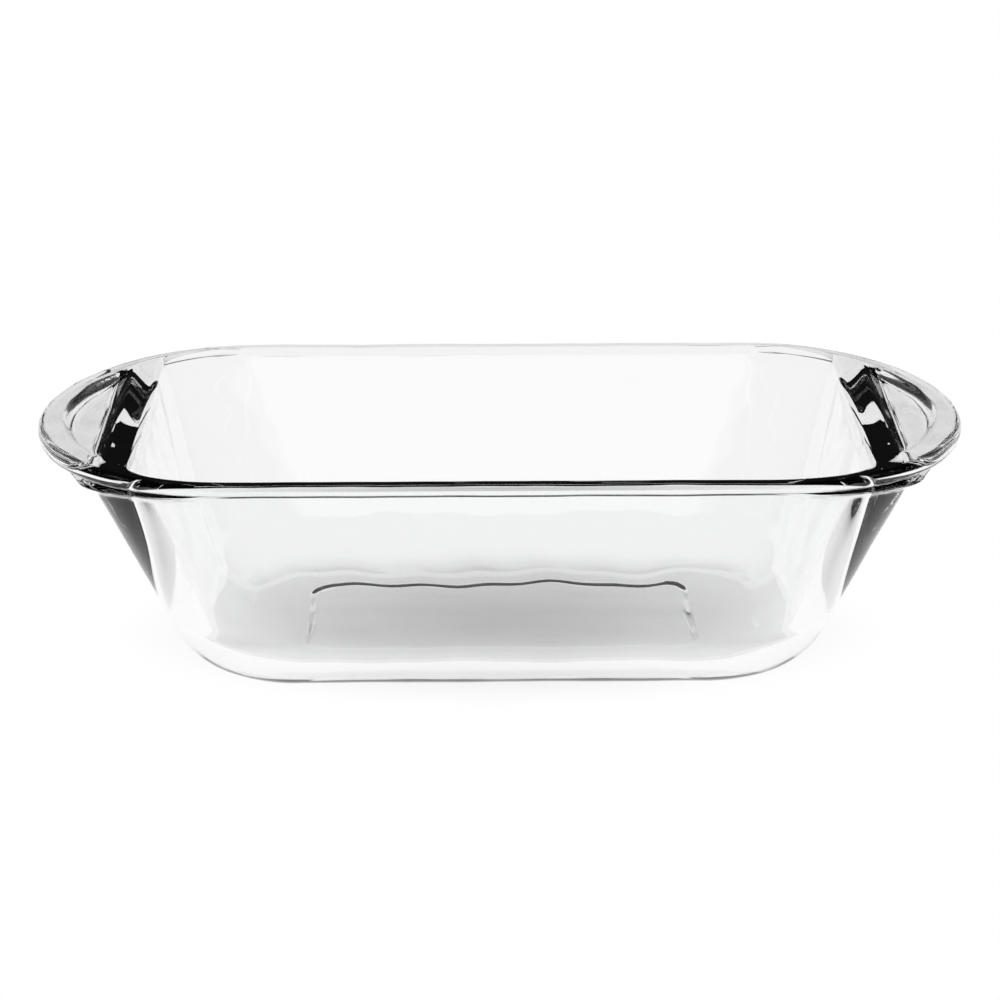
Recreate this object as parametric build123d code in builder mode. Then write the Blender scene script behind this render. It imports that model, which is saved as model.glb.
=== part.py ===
"""Pressed-glass loaf dish: one piece of clear glass, made as one solid in one node.

Frame: origin at the centre of the resting face, X along the dish, Y across it, Z up.
All sizes are in millimetres and all angles in degrees.
"""
from build123d import *
from math import radians, tan
import os

# ---- driving dimensions: overall -------------------------------------------------------------
overall_length = 276.0          # tip to tip over the two tab handles
overall_width = 132.0           # over the bead on the long sides
overall_height = 70.5           # resting face to rim

# ---- rim and handles -------------------------------------------------------------------------
rim_thickness = 5.4             # rim plate and handles, top face to underside
handle_projection = 20.4        # tip beyond the end wall, measured at the rim's underside
handle_reach = 61.0             # length of the elliptical stretch of the plate, ending at the tip
side_bead = 1.0                 # bead standing proud of the side walls
rim_edge_flat = 0.2             # flat left between the two rounded outer edges of the plate
rim_inner_radius = 2.0          # rounded mouth edge

# ---- recessed web on top of each handle --------------------------------------------------------
lip_width = 7.0                 # raised lip round the outside of the web
web_depth = 2.0                 # web below the lip
web_inset = 6.0                 # web starts this far inside the end wall's outer face
web_plan_corner = 4.0           # plan corners of the web
web_corner_radius = 1.2         # rounded corner between web floor and lip

# ---- outer body --------------------------------------------------------------------------------
end_draft = 20.0                # slope of the end walls from the vertical
side_draft = 8.0                # slope of the side walls from the vertical
corner_radius_rim = 28.0        # plan corner at the rim
corner_radius_base = 39.0       # plan corner at the bottom, before its edge is rounded
bottom_radius = 20.0            # rounded edge between walls and bottom
root_height = 8.0               # flare under each handle, below the rim's underside
root_flare = 4.5                # how far the flare carries the end wall outwards

# ---- glass thickness and basin -----------------------------------------------------------------
side_wall_rim = 4.8             # side wall at the rim, without the bead
end_wall_rim = 14.0             # end wall at the rim, thick where the handle grows out of it
floor_thickness = 5.5
inner_end_draft = 13.0
inner_side_draft = 8.5
mouth_corner_step = 10.0        # plan corner of the rim less that of the mouth
floor_corner_step = 5.0         # plan corner of the bottom less that of the floor
bottom_edge_glass = 5.0         # glass in the rounded edge between walls and floor

# ---- foot: a flat ring round a shallow sunk panel ---------------------------------------------
foot_ring_end = 20.0            # ring width at the ends
foot_ring_side = 9.0            # ring width at the sides
panel_depth = 0.9
panel_corner = 9.0
panel_edge_radius = 0.6

# ---- worked out from the above -------------------------------------------------------------------
rim_edge_radius = (rim_thickness - rim_edge_flat) / 2
rim_underside = overall_height - rim_thickness
plate_middle = overall_height - rim_thickness / 2
straight_half = overall_length / 2 - handle_reach
end_slope = tan(radians(end_draft))
side_slope = tan(radians(side_draft))

wall_half_length = overall_length / 2 - handle_projection
wall_half_width = overall_width / 2 - side_bead
root_bottom = rim_underside - root_height


def outer_half_length(height):
    """Half-length of the outer end walls at a height, where they are plain."""
    return wall_half_length - (rim_underside - height) * end_slope


def outer_half_width(height):
    """Half-width of the outer side walls at a height."""
    return wall_half_width - (plate_middle - height) * side_slope


def outer_corner(height):
    """Plan corner radius of the outer walls at a height."""
    share = height / rim_underside
    return corner_radius_base + (corner_radius_rim - corner_radius_base) * share


base_half_length = outer_half_length(0)
base_half_width = outer_half_width(0)
# The rounded bottom edge takes this much off the flat at the ends and at the sides.
flat_half_length = base_half_length - bottom_radius * tan(radians(90 - end_draft) / 2)
flat_half_width = base_half_width - bottom_radius * tan(radians(90 - side_draft) / 2)

mouth_half_length = wall_half_length - end_wall_rim
mouth_half_width = wall_half_width - side_wall_rim
basin_depth = overall_height - floor_thickness
floor_half_length = mouth_half_length - basin_depth * tan(radians(inner_end_draft))
floor_half_width = mouth_half_width - basin_depth * tan(radians(inner_side_draft))

mouth_corner = corner_radius_rim - mouth_corner_step
floor_corner = corner_radius_base - floor_corner_step
inner_bottom_radius = bottom_radius - bottom_edge_glass

web_start = wall_half_length - web_inset
touch = 1e-3                    # two heights nearer than this are the same


# ---- the rim plate: a flat band with half-elliptical ends that are the handles ----------------
with BuildPart() as rim_plate:
    with BuildSketch(Plane.XY.offset(rim_underside)) as plate_outline:
        Rectangle(2 * straight_half, overall_width)
        with Locations((straight_half, 0), (-straight_half, 0)):
            Ellipse(handle_reach, overall_width / 2)
    extrude(amount=rim_thickness)
    rim_edges = rim_plate.edges().group_by(Axis.Z)
    fillet(rim_edges[0] + rim_edges[-1], rim_edge_radius)

# ---- the basin: the hollow inside the dish, with its rounded bottom edge -----------------------
with BuildPart() as basin:
    with BuildSketch(Plane.XY.offset(floor_thickness)):
        RectangleRounded(2 * floor_half_length, 2 * floor_half_width, floor_corner)
    with BuildSketch(Plane.XY.offset(overall_height)):
        RectangleRounded(2 * mouth_half_length, 2 * mouth_half_width, mouth_corner)
    loft()
    fillet(basin.edges().group_by(Axis.Z)[0], inner_bottom_radius)

# ---- the dish ------------------------------------------------------------------------------------
with BuildPart() as glass_dish:
    # Tapered outer body, from the bottom up to where the flare starts.
    with BuildSketch(Plane.XY):
        RectangleRounded(2 * base_half_length, 2 * base_half_width, corner_radius_base)
    with BuildSketch(Plane.XY.offset(root_bottom)):
        RectangleRounded(
            2 * outer_half_length(root_bottom),
            2 * outer_half_width(root_bottom),
            outer_corner(root_bottom),
        )
    loft()
    fillet(glass_dish.edges().group_by(Axis.Z)[0], bottom_radius)

    # The end walls flare into the handles, and the side walls go on as they are.
    with BuildSketch(Plane.XY.offset(root_bottom)):
        RectangleRounded(
            2 * outer_half_length(root_bottom),
            2 * outer_half_width(root_bottom),
            outer_corner(root_bottom),
        )
    with BuildSketch(Plane.XY.offset(plate_middle)):
        RectangleRounded(
            2 * (wall_half_length + root_flare),
            2 * wall_half_width,
            corner_radius_rim,
        )
    loft()

    # Rim plate with both handles.
    add(rim_plate.part)

    # Basin and its rounded mouth edge.
    add(basin.part, mode=Mode.SUBTRACT)
    mouth = glass_dish.faces().filter_by(Axis.Z).sort_by(Axis.Z)[-1].inner_wires()
    fillet(mouth.edges(), rim_inner_radius)

    # Recessed webs on the handles, inside a lip that follows the plate's outline.
    with BuildSketch(Plane.XY.offset(overall_height)) as web_outline:
        with Locations((straight_half, 0), (-straight_half, 0)):
            Ellipse(handle_reach - lip_width, overall_width / 2 - lip_width)
        Rectangle(2 * web_start, overall_width, mode=Mode.SUBTRACT)
        fillet(web_outline.vertices(), web_plan_corner)
    extrude(amount=-web_depth, mode=Mode.SUBTRACT)
    web_floors = glass_dish.faces().filter_by(Axis.Z).filter_by(
        lambda face: abs(face.center().Z - (overall_height - web_depth)) < touch
    )
    fillet(web_floors.edges(), web_corner_radius)

    # Shallow panel sunk into the bottom, which leaves the foot ring.
    with BuildSketch(Plane.XY):
        RectangleRounded(
            2 * (flat_half_length - foot_ring_end),
            2 * (flat_half_width - foot_ring_side),
            panel_corner,
        )
    extrude(amount=panel_depth, mode=Mode.SUBTRACT)
    panel_face = glass_dish.faces().filter_by(Axis.Z).filter_by(
        lambda face: abs(face.center().Z - panel_depth) < touch
    )
    fillet(panel_face.edges(), panel_edge_radius)

glass_dish.part.label = "glass_dish"

os.makedirs("parts", exist_ok=True)
export_step(glass_dish.part, "parts/glass_dish.step")

box = glass_dish.part.bounding_box()
print("glass_dish", box.size, "volume cm3", round(glass_dish.part.volume / 1000, 1))
print("resting face at", round(box.min.Z, 4), "foot", flat_half_length, flat_half_width)
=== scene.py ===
"""Clear pressed-glass loaf dish: its looks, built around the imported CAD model.

The dish is one piece of glass. Its skin is one closed surface of two parameters: u runs round the
dish and v runs along a profile, from the middle of the floor, up the basin, over the rim and the
handles, down the outside and in to the middle of the bottom. All lengths are in metres.
"""

import logging
import math
from dataclasses import dataclass, field

import bpy
import numpy as np
from mathutils import Matrix, Vector

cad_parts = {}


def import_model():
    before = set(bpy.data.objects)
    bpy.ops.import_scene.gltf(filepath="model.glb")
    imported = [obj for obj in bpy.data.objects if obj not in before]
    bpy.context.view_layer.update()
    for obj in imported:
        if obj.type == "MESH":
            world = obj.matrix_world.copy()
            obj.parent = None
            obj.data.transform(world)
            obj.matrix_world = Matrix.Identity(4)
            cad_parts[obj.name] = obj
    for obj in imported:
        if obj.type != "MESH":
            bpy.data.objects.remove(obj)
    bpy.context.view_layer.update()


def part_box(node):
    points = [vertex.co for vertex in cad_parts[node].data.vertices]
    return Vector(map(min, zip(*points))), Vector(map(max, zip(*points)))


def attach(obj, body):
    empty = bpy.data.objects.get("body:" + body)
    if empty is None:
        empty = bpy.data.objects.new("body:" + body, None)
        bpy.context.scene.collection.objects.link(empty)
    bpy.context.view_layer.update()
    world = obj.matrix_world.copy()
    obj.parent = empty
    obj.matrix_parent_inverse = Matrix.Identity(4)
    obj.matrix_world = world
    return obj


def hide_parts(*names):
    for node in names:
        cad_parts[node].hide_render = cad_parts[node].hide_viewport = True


LOG = logging.getLogger("loaf_dish")
NODE = "glass_dish"
BODY = "root"
MM = 0.001

Array = np.ndarray
Rings = tuple[Array, Array, Array]


@dataclass(frozen=True)
class Along:
    """Steps along each stretch of the profile, in the order in which the stretches follow."""

    floor: int = 9
    floor_edge: int = 18
    inner_wall: int = 24
    mouth_edge: int = 10
    land: int = 34
    outer_edge_upper: int = 12
    outer_edge_lower: int = 12
    underside: int = 12
    root: int = 12
    outer_wall: int = 22
    bottom_edge: int = 20
    foot_ring: int = 5
    panel_step: int = 10
    panel: int = 6

    def inside(self) -> int:
        """How many steps there are from the middle of the floor to the top of the mouth edge."""
        return self.floor + self.floor_edge + self.inner_wall + self.mouth_edge


@dataclass(frozen=True)
class Around:
    """Points in a quarter of the way round: half an end, one corner and half a side."""

    end: int = 20
    corner: int = 60
    side: int = 26


@dataclass(frozen=True)
class Ripple:
    """Faint waves left in the skin by the mould.

    Each wave is amplitude times the sine of a point's place along a direction, over a wavelength.
    The skin stays level where it touches the floor.
    """

    inner: float = 0.05 * MM
    outer: float = 0.07 * MM
    wavelength: float = 19.0 * MM
    shortest: float = 0.6
    longest: float = 1.6
    waves: int = 7
    level_below: float = 0.02 * MM
    seed: int = 11


@dataclass(frozen=True)
class ClearGlass:
    """Clear, colourless, fire-polished glass, with a faint flow in its surface."""

    name: str = "clear_pressed_glass"
    colour: tuple[float, float, float, float] = (0.965, 0.97, 0.968, 1.0)
    ior: float = 1.48
    roughness: float = 0.0
    flow_scale: float = 42.0
    flow_detail: float = 2.0
    flow_height: float = 0.00006
    flow_strength: float = 0.35

    def build(self) -> bpy.types.Material:
        """Makes the glass: a transmitting shader whose surface carries a soft, slow bump.

        Returns:
            The material.
        """
        material = bpy.data.materials.new(self.name)
        material.use_nodes = True
        nodes, links = material.node_tree.nodes, material.node_tree.links
        shader = nodes["Principled BSDF"]
        shader.inputs["Base Color"].default_value = self.colour
        shader.inputs["IOR"].default_value = self.ior
        shader.inputs["Roughness"].default_value = self.roughness
        shader.inputs["Transmission Weight"].default_value = 1.0
        place = nodes.new("ShaderNodeTexCoord")
        flow = nodes.new("ShaderNodeTexNoise")
        flow.inputs["Scale"].default_value = self.flow_scale
        flow.inputs["Detail"].default_value = self.flow_detail
        bump = nodes.new("ShaderNodeBump")
        bump.inputs["Strength"].default_value = self.flow_strength
        bump.inputs["Distance"].default_value = self.flow_height
        links.new(place.outputs["Object"], flow.inputs["Vector"])
        links.new(flow.outputs["Fac"], bump.inputs["Height"])
        links.new(bump.outputs["Normal"], shader.inputs["Normal"])
        return material


@dataclass
class GlassDish:
    """The dish: basin, rim, two tab handles and foot, as one closed skin."""

    length: float
    width: float
    height: float
    # rim and handles
    rim_thickness: float = 5.4 * MM
    handle_projection: float = 20.4 * MM
    handle_reach: float = 61.0 * MM
    handle_end_share: float = 1.12
    side_bead: float = 1.0 * MM
    side_thickness: float = 3.4 * MM
    bead_turn: float = 52.0
    mouth_radius: float = 2.0 * MM
    lip_width: float = 7.0 * MM
    web_depth: float = 2.0 * MM
    web_start: float = -4.0 * MM
    web_slope: float = 4.0 * MM
    web_root_slope: float = 5.0 * MM
    root_radius: float = 6.0 * MM
    bead_radius: float = 1.5 * MM
    bead_tuck: float = 0.4
    # outer body
    end_draft: float = 20.0
    side_draft: float = 8.0
    corner_rim: float = 38.0 * MM
    corner_pinch: float = 16.0 * MM
    corner_base: float = 39.0 * MM
    bottom_radius: float = 20.0 * MM
    # basin
    side_wall: float = 4.8 * MM
    end_wall: float = 12.0 * MM
    floor_thickness: float = 5.5 * MM
    inner_end_draft: float = 13.0
    inner_side_draft: float = 8.5
    mouth_corner: float = 28.0 * MM
    floor_corner: float = 34.0 * MM
    floor_edge_radius: float = 15.0 * MM
    # foot
    foot_ring_end: float = 20.0 * MM
    foot_ring_side: float = 9.0 * MM
    panel_depth: float = 0.5 * MM
    panel_corner: float = 10.0 * MM
    panel_step: float = 3.4 * MM
    along: Along = field(default_factory=Along)
    round_steps: Around = field(default_factory=Around)
    ripple: Ripple = field(default_factory=Ripple)
    finish: ClearGlass = field(default_factory=ClearGlass)

    def around(self) -> tuple[Array, Array, Array, Array]:
        """Splits a quarter of the way round into half an end, a corner and half a side.

        Returns:
            Four rows with one value per point: the share along the end, the corner angle, the
            share along the side, and how far the point has turned from an end to a side, which
            is the squared sine of the corner angle.
        """
        s = self.round_steps
        end = np.linspace(0, 1, s.end, endpoint=False)
        angle = np.linspace(0, math.pi / 2, s.corner, endpoint=False)
        side = np.linspace(0, 1, s.side + 1)
        share_end = np.concatenate([end, np.ones(s.corner + s.side + 1)])
        turned = np.concatenate([np.zeros(s.end), angle, np.full(s.side + 1, math.pi / 2)])
        share_side = np.concatenate([np.zeros(s.end + s.corner), side])
        return share_end, turned, share_side, np.sin(turned) ** 2

    def box_ring(
        self, a: Array, b: Array, r: Array, pinch: Array | float = 0.0
    ) -> tuple[Array, Array]:
        """Quarter rings of rectangles with elliptical corners.

        A point is on the straight end at x = a, on an ellipse round (a - r, b - q) with half-axes
        r along the dish and q = r - pinch across it, or on the straight side at y = b.

        Args:
            a: Half-length of each ring.
            b: Half-width of each ring.
            r: Corner radius of each ring along the dish.
            pinch: How much less the corner radius is across the dish.

        Returns:
            x and y, one row per ring.
        """
        share_end, turned, share_side, _ = self.around()
        a, b, r, pinch = (np.atleast_1d(v)[:, None] for v in (a, b, r, pinch))
        x = np.where(share_side > 0, (a - r) * (1 - share_side), a - r + r * np.cos(turned))
        q = r - pinch
        y = (b - q) * share_end + q * np.sin(turned)
        return x, y

    def plate_ring(self, inset: Array) -> tuple[Array, Array]:
        """Quarter rings of the rim plate's outline, moved inwards by an inset.

        The outline is straight along the side and an ellipse round the handle, and the inset
        goes along the outline's normal. The points that face the straight end of the basin take
        up the ellipse as far as handle_end_share of that end's width.

        Args:
            inset: Distance inside the outline, one value per ring or per point.

        Returns:
            x and y, one row per ring.
        """
        share_end, turned, share_side, _ = self.around()
        half_width = self.width / 2
        start = self.length / 2 - self.handle_reach
        end_width = self.handle_end_share * (half_width - self.corner_rim)
        first = math.asin(min(1.0, end_width / half_width))
        t = first * share_end + (math.pi / 2 - first) * turned / (math.pi / 2)
        round_x = start + self.handle_reach * np.cos(t)
        x = np.where(share_side > 0, start * (1 - share_side), round_x)
        y = half_width * np.sin(t)
        nx = np.where(share_side > 0, 0.0, half_width * np.cos(t))
        ny = np.where(share_side > 0, 1.0, self.handle_reach * np.sin(t))
        size = np.hypot(nx, ny)
        inset = np.atleast_1d(inset)
        inset = inset[:, None] if inset.ndim == 1 else inset
        return x - inset * nx / size, y - inset * ny / size

    def web(self, x: Array, y: Array) -> Array:
        """Depth of the sunk web at points on top of the handles.

        The web lies outside the end wall and inside a lip of even width. Both borders are soft
        steps, each a smoothstep over the slope's width, and the depth is their product.

        Args:
            x: Distance from the middle along the dish.
            y: Distance from the middle across it.

        Returns:
            The depth below the rim's top.
        """
        start = self.length / 2 - self.handle_reach
        reach = (self.length / 2 - start) - self.lip_width
        side = self.width / 2 - self.lip_width
        out = np.hypot(np.maximum(x - start, 0) / reach, y / side)
        lip = smooth_step((1 - out) * reach / self.web_slope)
        root = self.length / 2 - self.handle_projection + self.web_start
        wall = smooth_step((x - root) / self.web_root_slope)
        return self.web_depth * lip * wall

    @property
    def turn(self) -> Array:
        """How far each point round the ring has turned from an end to a side, from 0 to 1."""
        return self.around()[3]

    @property
    def wall_length(self) -> float:
        """Half-length of the outer walls, carried up to the rim's underside."""
        return self.length / 2 - self.handle_projection

    @property
    def wall_width(self) -> float:
        """Half-width of the outer walls at the rim, without the bead."""
        return self.width / 2 - self.side_bead

    @property
    def under(self) -> float:
        """Height of the handles' underside."""
        return self.height - self.rim_thickness

    @property
    def edge(self) -> Array:
        """Half the rim's thickness at each point round it, thinner along the sides."""
        return (self.rim_thickness + (self.side_thickness - self.rim_thickness) * self.turn) / 2

    @property
    def middle(self) -> Array:
        """Height of the middle of the rim's edge at each point round it."""
        return self.height - self.edge

    @property
    def foot(self) -> tuple[float, float]:
        """Half-length and half-width of the flat bottom, inside its rounded edge.

        The walls lean in from the rim to the floor, and the round takes off its radius times
        the tangent of half the angle that it turns through.
        """
        end_lean, side_lean = math.radians(self.end_draft), math.radians(self.side_draft)
        base_a = self.wall_length - self.under * math.tan(end_lean)
        base_b = self.wall_width - self.middle[-1] * math.tan(side_lean)
        foot_a = base_a - self.bottom_radius * math.tan((math.pi / 2 - end_lean) / 2)
        foot_b = base_b - self.bottom_radius * math.tan((math.pi / 2 - side_lean) / 2)
        return foot_a, foot_b

    def between(self, low: Array, high: Array) -> Array:
        """Heights that go from the end's to the side's as each ring turns."""
        return low[:, None] + (high - low)[:, None] * self.turn

    def basin(self) -> list[Rings]:
        """Works out the basin: floor, its rounded edge, the inner walls and the mouth edge.

        The walls are straight in profile. The rounds are arcs tangent to what they join.

        Returns:
            x, y and z for each stretch, one row per ring.
        """
        in_end, in_side = math.radians(self.inner_end_draft), math.radians(self.inner_side_draft)
        mouth_a, mouth_b = self.wall_length - self.end_wall, self.wall_width - self.side_wall

        # Floor: what its rounded edge leaves of its sharp outline.
        depth = self.height - self.floor_thickness
        floor_a = mouth_a - depth * math.tan(in_end)
        floor_b = mouth_b - depth * math.tan(in_side)
        flat_a = floor_a - self.floor_edge_radius * math.tan((math.pi / 2 - in_end) / 2)
        flat_b = floor_b - self.floor_edge_radius * math.tan((math.pi / 2 - in_side) / 2)
        flat_r = self.floor_corner - (floor_b - flat_b)
        s = steps_of(self.along.floor)[1:]
        x, y = self.box_ring(flat_a * s, flat_b * s, flat_r * s)
        floor = (x, y, np.full_like(x, self.floor_thickness))

        # Rounded edge of the floor.
        s = steps_of(self.along.floor_edge)
        radius, level = self.floor_edge_radius, self.floor_thickness
        low_a, low_end = arc(flat_a, level, radius, s * (math.pi / 2 - in_end))
        low_b, low_side = arc(flat_b, level, radius, s * (math.pi / 2 - in_side))
        low_r = flat_r + (low_b - flat_b)
        floor_edge = (*self.box_ring(low_a, low_b, low_r), self.between(low_end, low_side))

        # Inner walls, up to the rounded mouth edge.
        cut_end = self.mouth_radius * math.tan((math.pi / 2 - in_end) / 2)
        cut_side = self.mouth_radius * math.tan((math.pi / 2 - in_side) / 2)
        s = steps_of(self.along.inner_wall)
        a = low_a[-1] + (mouth_a - cut_end * math.sin(in_end) - low_a[-1]) * s
        b = low_b[-1] + (mouth_b - cut_side * math.sin(in_side) - low_b[-1]) * s
        end_z = low_end[-1] + (self.height - cut_end * math.cos(in_end) - low_end[-1]) * s
        side_z = low_side[-1] + (self.height - cut_side * math.cos(in_side) - low_side[-1]) * s
        r = low_r[-1] + (self.mouth_corner - low_r[-1]) * s
        wall = (*self.box_ring(a, b, r, self.corner_pinch * s), self.between(end_z, side_z))

        # Rounded mouth edge: from the wall's lean over to level.
        s = steps_of(self.along.mouth_edge)
        end_turn = (math.pi / 2 - in_end) * (1 - s)
        side_turn = (math.pi / 2 - in_side) * (1 - s)
        mouth_r = self.mouth_corner - b[-1]
        a = mouth_a + cut_end - self.mouth_radius * np.sin(end_turn)
        b = mouth_b + cut_side - self.mouth_radius * np.sin(side_turn)
        end_z = self.height - self.mouth_radius * (1 - np.cos(end_turn))
        side_z = self.height - self.mouth_radius * (1 - np.cos(side_turn))
        x, y = self.box_ring(a, b, mouth_r + b, self.corner_pinch)
        return [floor, floor_edge, wall, (x, y, self.between(end_z, side_z))]

    def rim(self, mouth: tuple[Array, Array]) -> list[Rings]:
        """Works out the top of the rim with its webs, and its rounded outer edge.

        The top goes straight from the mouth to the outer edge. The edge is half a round of the
        rim's thickness, and on the sides goes only as far as the bead turns.

        Args:
            mouth: x and y of the ring that the top starts from.

        Returns:
            x, y and z for each stretch, one row per ring.
        """
        x_in, y_in = mouth
        x_out, y_out = self.plate_ring(self.edge[None, :])
        s = steps_of(self.along.land)[:, None]
        x, y = x_in + (x_out - x_in) * s, y_in + (y_out - y_in) * s
        land = (x, y, self.height - self.web(x, y))

        psi = (1 - steps_of(self.along.outer_edge_upper)[:, None]) * math.pi / 2
        x, y = self.plate_ring(self.edge * (1 - np.cos(psi)))
        upper = (x, y, self.middle + self.edge * np.sin(psi))

        low_turn = math.pi / 2 + (math.radians(self.bead_turn) - math.pi / 2) * self.turn
        psi = steps_of(self.along.outer_edge_lower)[:, None] * low_turn
        x, y = self.plate_ring(self.edge * (1 - np.cos(psi)))
        return [land, upper, (x, y, self.middle - self.edge * np.sin(psi))]

    def outside(self, rim_edge: Rings) -> list[Rings]:
        """Works out the outer body: underside, handle roots, outer walls and bottom edge.

        The underside and the walls are straight in profile, and the roots and the bottom edge
        are arcs. On the sides, the bead runs down into the wall instead.

        Args:
            rim_edge: x, y and z of the last ring of the rim.

        Returns:
            x, y and z for each stretch, one row per ring.
        """
        x_out, y_out, z_out = rim_edge
        end_lean, side_lean = math.radians(self.end_draft), math.radians(self.side_draft)
        cut = self.root_radius / math.tan((math.pi / 2 + end_lean) / 2)
        wall_b = self.wall_width - (self.middle[-1] - z_out[0, -1]) * math.tan(side_lean)
        root_a, root_b = np.array([self.wall_length + cut]), np.array([wall_b])
        root_r = np.array([self.corner_rim])
        x_root, y_root = self.box_ring(root_a, root_b, root_r, self.corner_pinch)
        side_root = z_out[0, -1] - self.bead_tuck * self.bead_radius
        z_root = self.under + (side_root - self.under) * self.turn[None, :]
        s = steps_of(self.along.underside)[:, None]
        x, y = x_out + (x_root - x_out) * s, y_out + (y_root - y_out) * s
        underside = (x, y, z_out + (z_root - z_out) * s)

        # Root of the handles: a hollow round down to the end wall.
        s = steps_of(self.along.root)
        angle = s * (math.pi / 2 - end_lean)
        root_a = self.wall_length + cut - self.root_radius * np.sin(angle)
        root_end = self.under - self.root_radius * (1 - np.cos(angle))
        root_side = side_root - self.bead_radius * s
        root_b = wall_b - (side_root - root_side) * math.tan(side_lean)
        r = np.full_like(root_a, self.corner_rim)
        x, y = self.box_ring(root_a, root_b, r, self.corner_pinch)
        root = (x, y, self.between(root_end, root_side))

        # Outer walls, down to the rounded bottom edge.
        big = self.bottom_radius
        foot_a, foot_b = self.foot
        low_end, low_side = big * (1 - math.sin(end_lean)), big * (1 - math.sin(side_lean))
        s = steps_of(self.along.outer_wall)
        a = root_a[-1] + (foot_a + big * math.cos(end_lean) - root_a[-1]) * s
        b = root_b[-1] + (foot_b + big * math.cos(side_lean) - root_b[-1]) * s
        r = self.corner_rim + (self.corner_base - self.corner_rim) * s
        end_z = root_end[-1] + (low_end - root_end[-1]) * s
        side_z = root_side[-1] + (low_side - root_side[-1]) * s
        x, y = self.box_ring(a, b, r, self.corner_pinch * (1 - s))
        wall = (x, y, self.between(end_z, side_z))

        # Rounded bottom edge.
        s = steps_of(self.along.bottom_edge)
        a, end_z = arc(foot_a, 0.0, big, (1 - s) * (math.pi / 2 - end_lean))
        b, side_z = arc(foot_b, 0.0, big, (1 - s) * (math.pi / 2 - side_lean))
        x, y = self.box_ring(a, b, self.corner_base + (b - b[0]))
        return [underside, root, wall, (x, y, self.between(end_z, side_z))]

    def bottom(self) -> list[Rings]:
        """Works out the flat foot ring, and the panel sunk in it behind a smoothstep.

        Returns:
            x, y and z for each stretch, one row per ring.
        """
        foot_a, foot_b = self.foot
        foot_r = self.corner_base - self.bottom_radius * math.cos(math.radians(self.side_draft))
        panel_a, panel_b = foot_a - self.foot_ring_end, foot_b - self.foot_ring_side
        s = steps_of(self.along.foot_ring)
        a = foot_a + (panel_a - foot_a) * s
        b = foot_b + (panel_b - foot_b) * s
        x, y = self.box_ring(a, b, foot_r + (self.panel_corner - foot_r) * s)
        ring = (x, y, np.zeros_like(x))

        s = steps_of(self.along.panel_step)
        shift = self.panel_step * s
        x, y = self.box_ring(panel_a - shift, panel_b - shift, self.panel_corner - shift)
        step = (x, y, np.broadcast_to((self.panel_depth * smooth_step(s))[:, None], x.shape))

        s = 1 - steps_of(self.along.panel)[:-1]
        a, b, r = (size - self.panel_step for size in (panel_a, panel_b, self.panel_corner))
        x, y = self.box_ring(a * s, b * s, r * s)
        return [ring, step, (x, y, np.full_like(x, self.panel_depth))]

    def skin(self) -> Array:
        """Joins the stretches into a quarter of the skin.

        For each stretch of the profile, the ends and the sides have their own curve, with the
        same number of points. A ring takes its half-length and half-width from the two curves.
        Its height goes from the end's to the side's with the squared sine of the corner angle.

        Returns:
            Points by ring and by place round the ring, over a quarter: rings, points, xyz.
        """
        stretches = self.basin()
        x, y, _ = stretches[-1]
        stretches += self.rim((x[-1:], y[-1:]))
        x, y, z = stretches[-1]
        stretches += self.outside((x[-1:], y[-1:], z[-1:]))
        stretches += self.bottom()
        quarter = [np.stack([x, y, z], axis=-1) for x, y, z in stretches]
        joined = [quarter[0]] + [part[1:] for part in quarter[1:]]
        return np.concatenate(joined)

    def grid(self) -> Array:
        """The whole skin, with the quarter mirrored about both middle planes.

        Returns:
            Points by ring and by place round the ring: rings, points, xyz.
        """
        q = self.skin()
        flip_x, flip_y = np.array([-1, 1, 1]), np.array([1, -1, 1])
        return np.concatenate(
            [
                q[:, :-1],
                (q * flip_x)[:, ::-1][:, :-1],
                (q * flip_x * flip_y)[:, :-1],
                (q * flip_y)[:, ::-1][:, :-1],
            ],
            axis=1,
        )

    def mesh(self) -> bpy.types.Mesh:
        """Makes the closed mesh: a grid of quads, with a fan round each of the two poles.

        Returns:
            The mesh, smooth shaded, facing outwards.
        """
        grid = self.grid()
        grid = grid + ripple_of(grid, self.ripple, self.along.inside())
        count_v, count_u, _ = grid.shape
        floor_pole = np.array([[0, 0, self.floor_thickness]])
        panel_pole = np.array([[0, 0, self.panel_depth]])
        points = np.concatenate([grid.reshape(-1, 3), floor_pole, panel_pole])
        ring, place = np.arange(count_v - 1)[:, None], np.arange(count_u)[None, :]
        after = (place + 1) % count_u
        quads = np.stack(
            [
                ring * count_u + place,
                ring * count_u + after,
                (ring + 1) * count_u + after,
                (ring + 1) * count_u + place,
            ],
            axis=-1,
        ).reshape(-1, 4)
        first = count_v * count_u
        place, after = place[0], after[0]
        low = np.stack([np.full(count_u, first), after, place], axis=-1)
        last_ring = (count_v - 1) * count_u
        pole = np.full(count_u, first + 1)
        high = np.stack([pole, last_ring + place, last_ring + after], axis=-1)
        mesh = bpy.data.meshes.new("glass_dish_skin")
        faces = quads[:, ::-1].tolist() + low[:, ::-1].tolist() + high[:, ::-1].tolist()
        mesh.from_pydata(points.tolist(), [], faces)
        mesh.update()
        mesh.polygons.foreach_set("use_smooth", np.ones(len(mesh.polygons), dtype=bool))
        return mesh

    def build(self) -> bpy.types.Object:
        """Makes the dish and dresses it.

        Returns:
            The dish's object, at the origin.
        """
        dish = bpy.data.objects.new("pressed_glass_dish", self.mesh())
        bpy.context.scene.collection.objects.link(dish)
        dish.data.materials.append(self.finish.build())
        return dish


def steps_of(count: int) -> Array:
    """Even steps from 0 to 1, both ends included."""
    return np.linspace(0, 1, count + 1)


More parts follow.
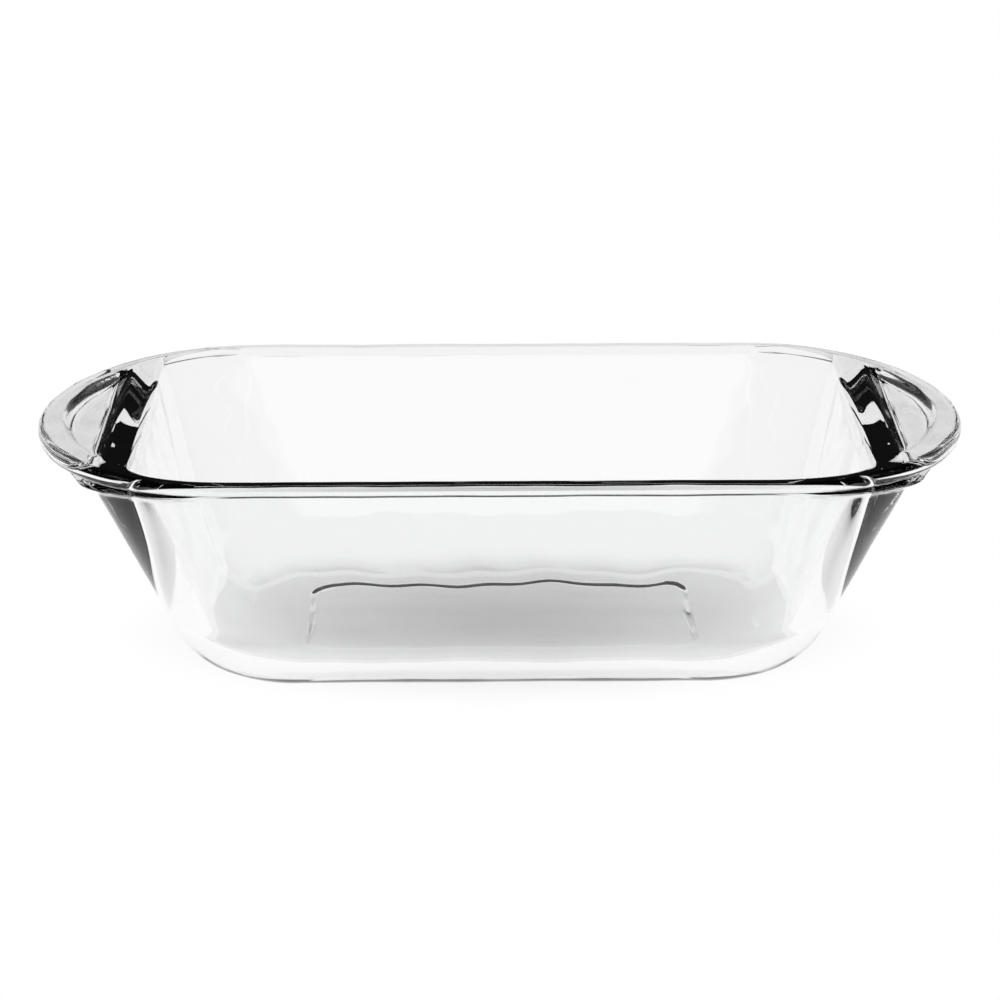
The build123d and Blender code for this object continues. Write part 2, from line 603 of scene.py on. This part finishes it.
def smooth_step(t: Array) -> Array:
    """The smoothstep of t: 0 below 0, 1 above 1, and 3 t squared less 2 t cubed between."""
    t = np.clip(t, 0, 1)
    return t * t * (3 - 2 * t)


def arc(flat: float, level: float, radius: float, angle: Array) -> tuple[Array, Array]:
    """A round that starts level and curls up.

    Out is flat plus radius times the sine, and height is level plus radius times one less cosine.

    Args:
        flat: Where the round starts.
        level: Its height there.
        radius: Radius of the round.
        angle: How far it has turned at each point.

    Returns:
        Distance out and height at each point.
    """
    return flat + radius * np.sin(angle), level + radius * (1 - np.cos(angle))


def ripple_of(grid: Array, ripple: Ripple, inside: int) -> Array:
    """Faint waves in the skin, as moves of each point along its normal.

    The move is a sum of sines of the point's place along seeded directions.

    Args:
        grid: Points by ring and place, with rings from the basin's floor to the bottom.
        ripple: The waves' sizes.
        inside: How many rings belong to the basin.

    Returns:
        Moves, shaped like the grid.
    """
    along = np.gradient(grid, axis=0)
    round_ring = np.roll(grid, -1, axis=1) - np.roll(grid, 1, axis=1)
    normal = np.cross(round_ring, along)
    normal /= np.maximum(np.linalg.norm(normal, axis=-1, keepdims=True), 1e-12)
    draw = np.random.default_rng(ripple.seed)
    total = np.zeros(grid.shape[:2])
    for _ in range(ripple.waves):
        direction = draw.normal(size=3)
        direction /= np.linalg.norm(direction)
        number = 2 * math.pi / (ripple.wavelength * draw.uniform(ripple.shortest, ripple.longest))
        total += np.sin(grid @ direction * number + draw.uniform(0, 2 * math.pi))
    total /= math.sqrt(ripple.waves)
    size = np.where(np.arange(len(grid)) < inside, ripple.inner, ripple.outer)
    level = np.abs(grid[:, :, 2]) < ripple.level_below
    return normal * (total * size[:, None] * ~level)[..., None]


@dataclass(frozen=True)
class Studio:
    """An even white floor with a painted shade under the dish, and light that is bright low down.

    The floor glows instead of taking light, so the shade under the dish is painted into its glow: a
    painted shadow, an ellipse that fades out near the edge of the foot. Few glossy bounces keep the
    thick edges dark.
    """

    floor_half: float = 3.0
    floor_drop: float = 0.2 * MM
    floor_glow: float = 1.0
    # Size and depth of the painted shade, a painted shadow of the dish in the floor's glow.
    painted_shade_half_length: float = 125.0 * MM
    painted_shade_half_width: float = 64.0 * MM
    painted_shade_depth: float = 0.40
    sky_heights: tuple[float, float] = (0.0, 0.05)
    sky_levels: tuple[float, float] = (1.0, 0.03)
    bounces: int = 24
    glossy_bounces: int = 8

    def floor(self) -> bpy.types.Object:
        """Makes the floor: a pale sheet just below the foot.

        Its glow is even, less a painted shade: the shade's depth times one less the smoothstep of
        the distance from the middle, measured in the shade's own half-axes. The painted shade
        stands in for the dish's shadow.

        Returns:
            The floor's object.
        """
        h = self.floor_half
        mesh = bpy.data.meshes.new("studio_floor")
        mesh.from_pydata([(-h, -h, 0), (h, -h, 0), (h, h, 0), (-h, h, 0)], [], [(0, 1, 2, 3)])
        mesh.transform(Matrix.Translation((0, 0, -self.floor_drop)))
        floor = bpy.data.objects.new("studio_floor", mesh)
        bpy.context.scene.collection.objects.link(floor)
        material = bpy.data.materials.new("studio_paper_painted_shade")
        material.use_nodes = True
        nodes, links = material.node_tree.nodes, material.node_tree.links
        shader = nodes["Principled BSDF"]
        shader.inputs["Base Color"].default_value = (0.0, 0.0, 0.0, 1)
        shader.inputs["Specular IOR Level"].default_value = 0.0
        shader.inputs["Emission Color"].default_value = (1.0, 1.0, 1.0, 1)
        # Painted shade: the glow dips in a soft ellipse under the dish, a painted shadow in place
        # of a cast one.
        place = nodes.new("ShaderNodeTexCoord")
        inside = nodes.new("ShaderNodeMapping")
        inside.vector_type = "TEXTURE"
        inside.inputs["Location"].default_value = (0, 0, -self.floor_drop)
        inside.inputs["Scale"].default_value = (self.painted_shade_half_length, self.painted_shade_half_width, 1)
        reach = nodes.new("ShaderNodeVectorMath")
        reach.operation = "LENGTH"
        glow = nodes.new("ShaderNodeMapRange")
        glow.interpolation_type = "SMOOTHSTEP"
        glow.inputs["To Min"].default_value = self.floor_glow - self.painted_shade_depth
        glow.inputs["To Max"].default_value = self.floor_glow
        links.new(place.outputs["Object"], inside.inputs["Vector"])
        links.new(inside.outputs["Vector"], reach.inputs[0])
        links.new(reach.outputs["Value"], glow.inputs["Value"])
        links.new(glow.outputs["Result"], shader.inputs["Emission Strength"])
        mesh.materials.append(material)
        return floor

    def sky(self) -> bpy.types.World:
        """Makes the light round the dish, as a brightness for each height of a direction.

        It is bright at the horizon and dim above that. Seen directly, it is an even white backdrop.

        Returns:
            The world.
        """
        world = bpy.data.worlds.new("studio_light")
        world.use_nodes = True
        tree = world.node_tree
        place = tree.nodes.new("ShaderNodeTexCoord")
        parts = tree.nodes.new("ShaderNodeSeparateXYZ")
        height = tree.nodes.new("ShaderNodeValToRGB")
        height.color_ramp.interpolation = "EASE"
        stops = height.color_ramp.elements
        for stop, at, level in zip(stops, self.sky_heights, self.sky_levels):
            stop.position = at
            stop.color = (level, level, level, 1)
        tree.links.new(place.outputs["Generated"], parts.inputs[0])
        tree.links.new(parts.outputs["Z"], height.inputs["Fac"])
        path = tree.nodes.new("ShaderNodeLightPath")
        seen = tree.nodes.new("ShaderNodeMix")
        seen.data_type = "FLOAT"
        seen.inputs["B"].default_value = self.floor_glow
        tree.links.new(path.outputs["Is Camera Ray"], seen.inputs["Factor"])
        tree.links.new(height.outputs["Color"], seen.inputs["A"])
        background = tree.nodes["Background"]
        background.inputs["Color"].default_value = (1.0, 1.0, 1.0, 1)
        tree.links.new(seen.outputs["Result"], background.inputs["Strength"])
        bpy.context.scene.world = world
        return world

    def settle(self, scene: bpy.types.Scene) -> None:
        """Sets how colours are shown and how often light may bounce.

        Args:
            scene: The scene to set.
        """
        scene.view_settings.view_transform = "Standard"
        scene.cycles.max_bounces = self.bounces
        scene.cycles.transmission_bounces = self.bounces
        scene.cycles.glossy_bounces = self.glossy_bounces


@dataclass(frozen=True)
class Viewpoint:
    """The camera: where it stands round the dish, how far off, and its lens."""

    azimuth: float = -0.55
    elevation: float = 20.7
    roll: float = 0.12
    distance: float = 0.932
    aim_height: float = 0.0415
    lens: float = 110.6
    sensor: float = 36.0

    def build(self) -> bpy.types.Object:
        """Makes the camera and sets it as the scene's.

        Returns:
            The camera's object.
        """
        a, e = math.radians(self.azimuth), math.radians(self.elevation)
        back = Vector((math.sin(a) * math.cos(e), -math.cos(a) * math.cos(e), math.sin(e)))
        right = Vector((math.cos(a), math.sin(a), 0))
        up = back.cross(right)
        c, s = math.cos(math.radians(self.roll)), math.sin(math.radians(self.roll))
        right, up = right * c - up * s, right * s + up * c
        camera = bpy.data.objects.new("camera", bpy.data.cameras.new("camera"))
        camera.data.lens = self.lens
        camera.data.sensor_width = self.sensor
        camera.data.dof.use_dof = False
        turn = Matrix((right, up, back)).transposed().to_4x4()
        place = Vector((0, 0, self.aim_height)) + back * self.distance
        camera.matrix_world = Matrix.Translation(place) @ turn
        bpy.context.scene.collection.objects.link(camera)
        bpy.context.scene.camera = camera
        return camera


def main() -> None:
    """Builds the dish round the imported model, then the studio and the camera."""
    logging.basicConfig(level=logging.INFO, format="%(name)s: %(message)s")
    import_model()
    low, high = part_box(NODE)
    dish = GlassDish(length=high.x - low.x, width=high.y - low.y, height=high.z - low.z)
    piece = dish.build()
    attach(piece, BODY)
    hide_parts(NODE)
    LOG.info("%s: %d faces", piece.name, len(piece.data.polygons))
    studio = Studio()
    studio.floor()
    studio.sky()
    studio.settle(bpy.context.scene)
    Viewpoint().build()


if __name__ == "__main__":
    main()
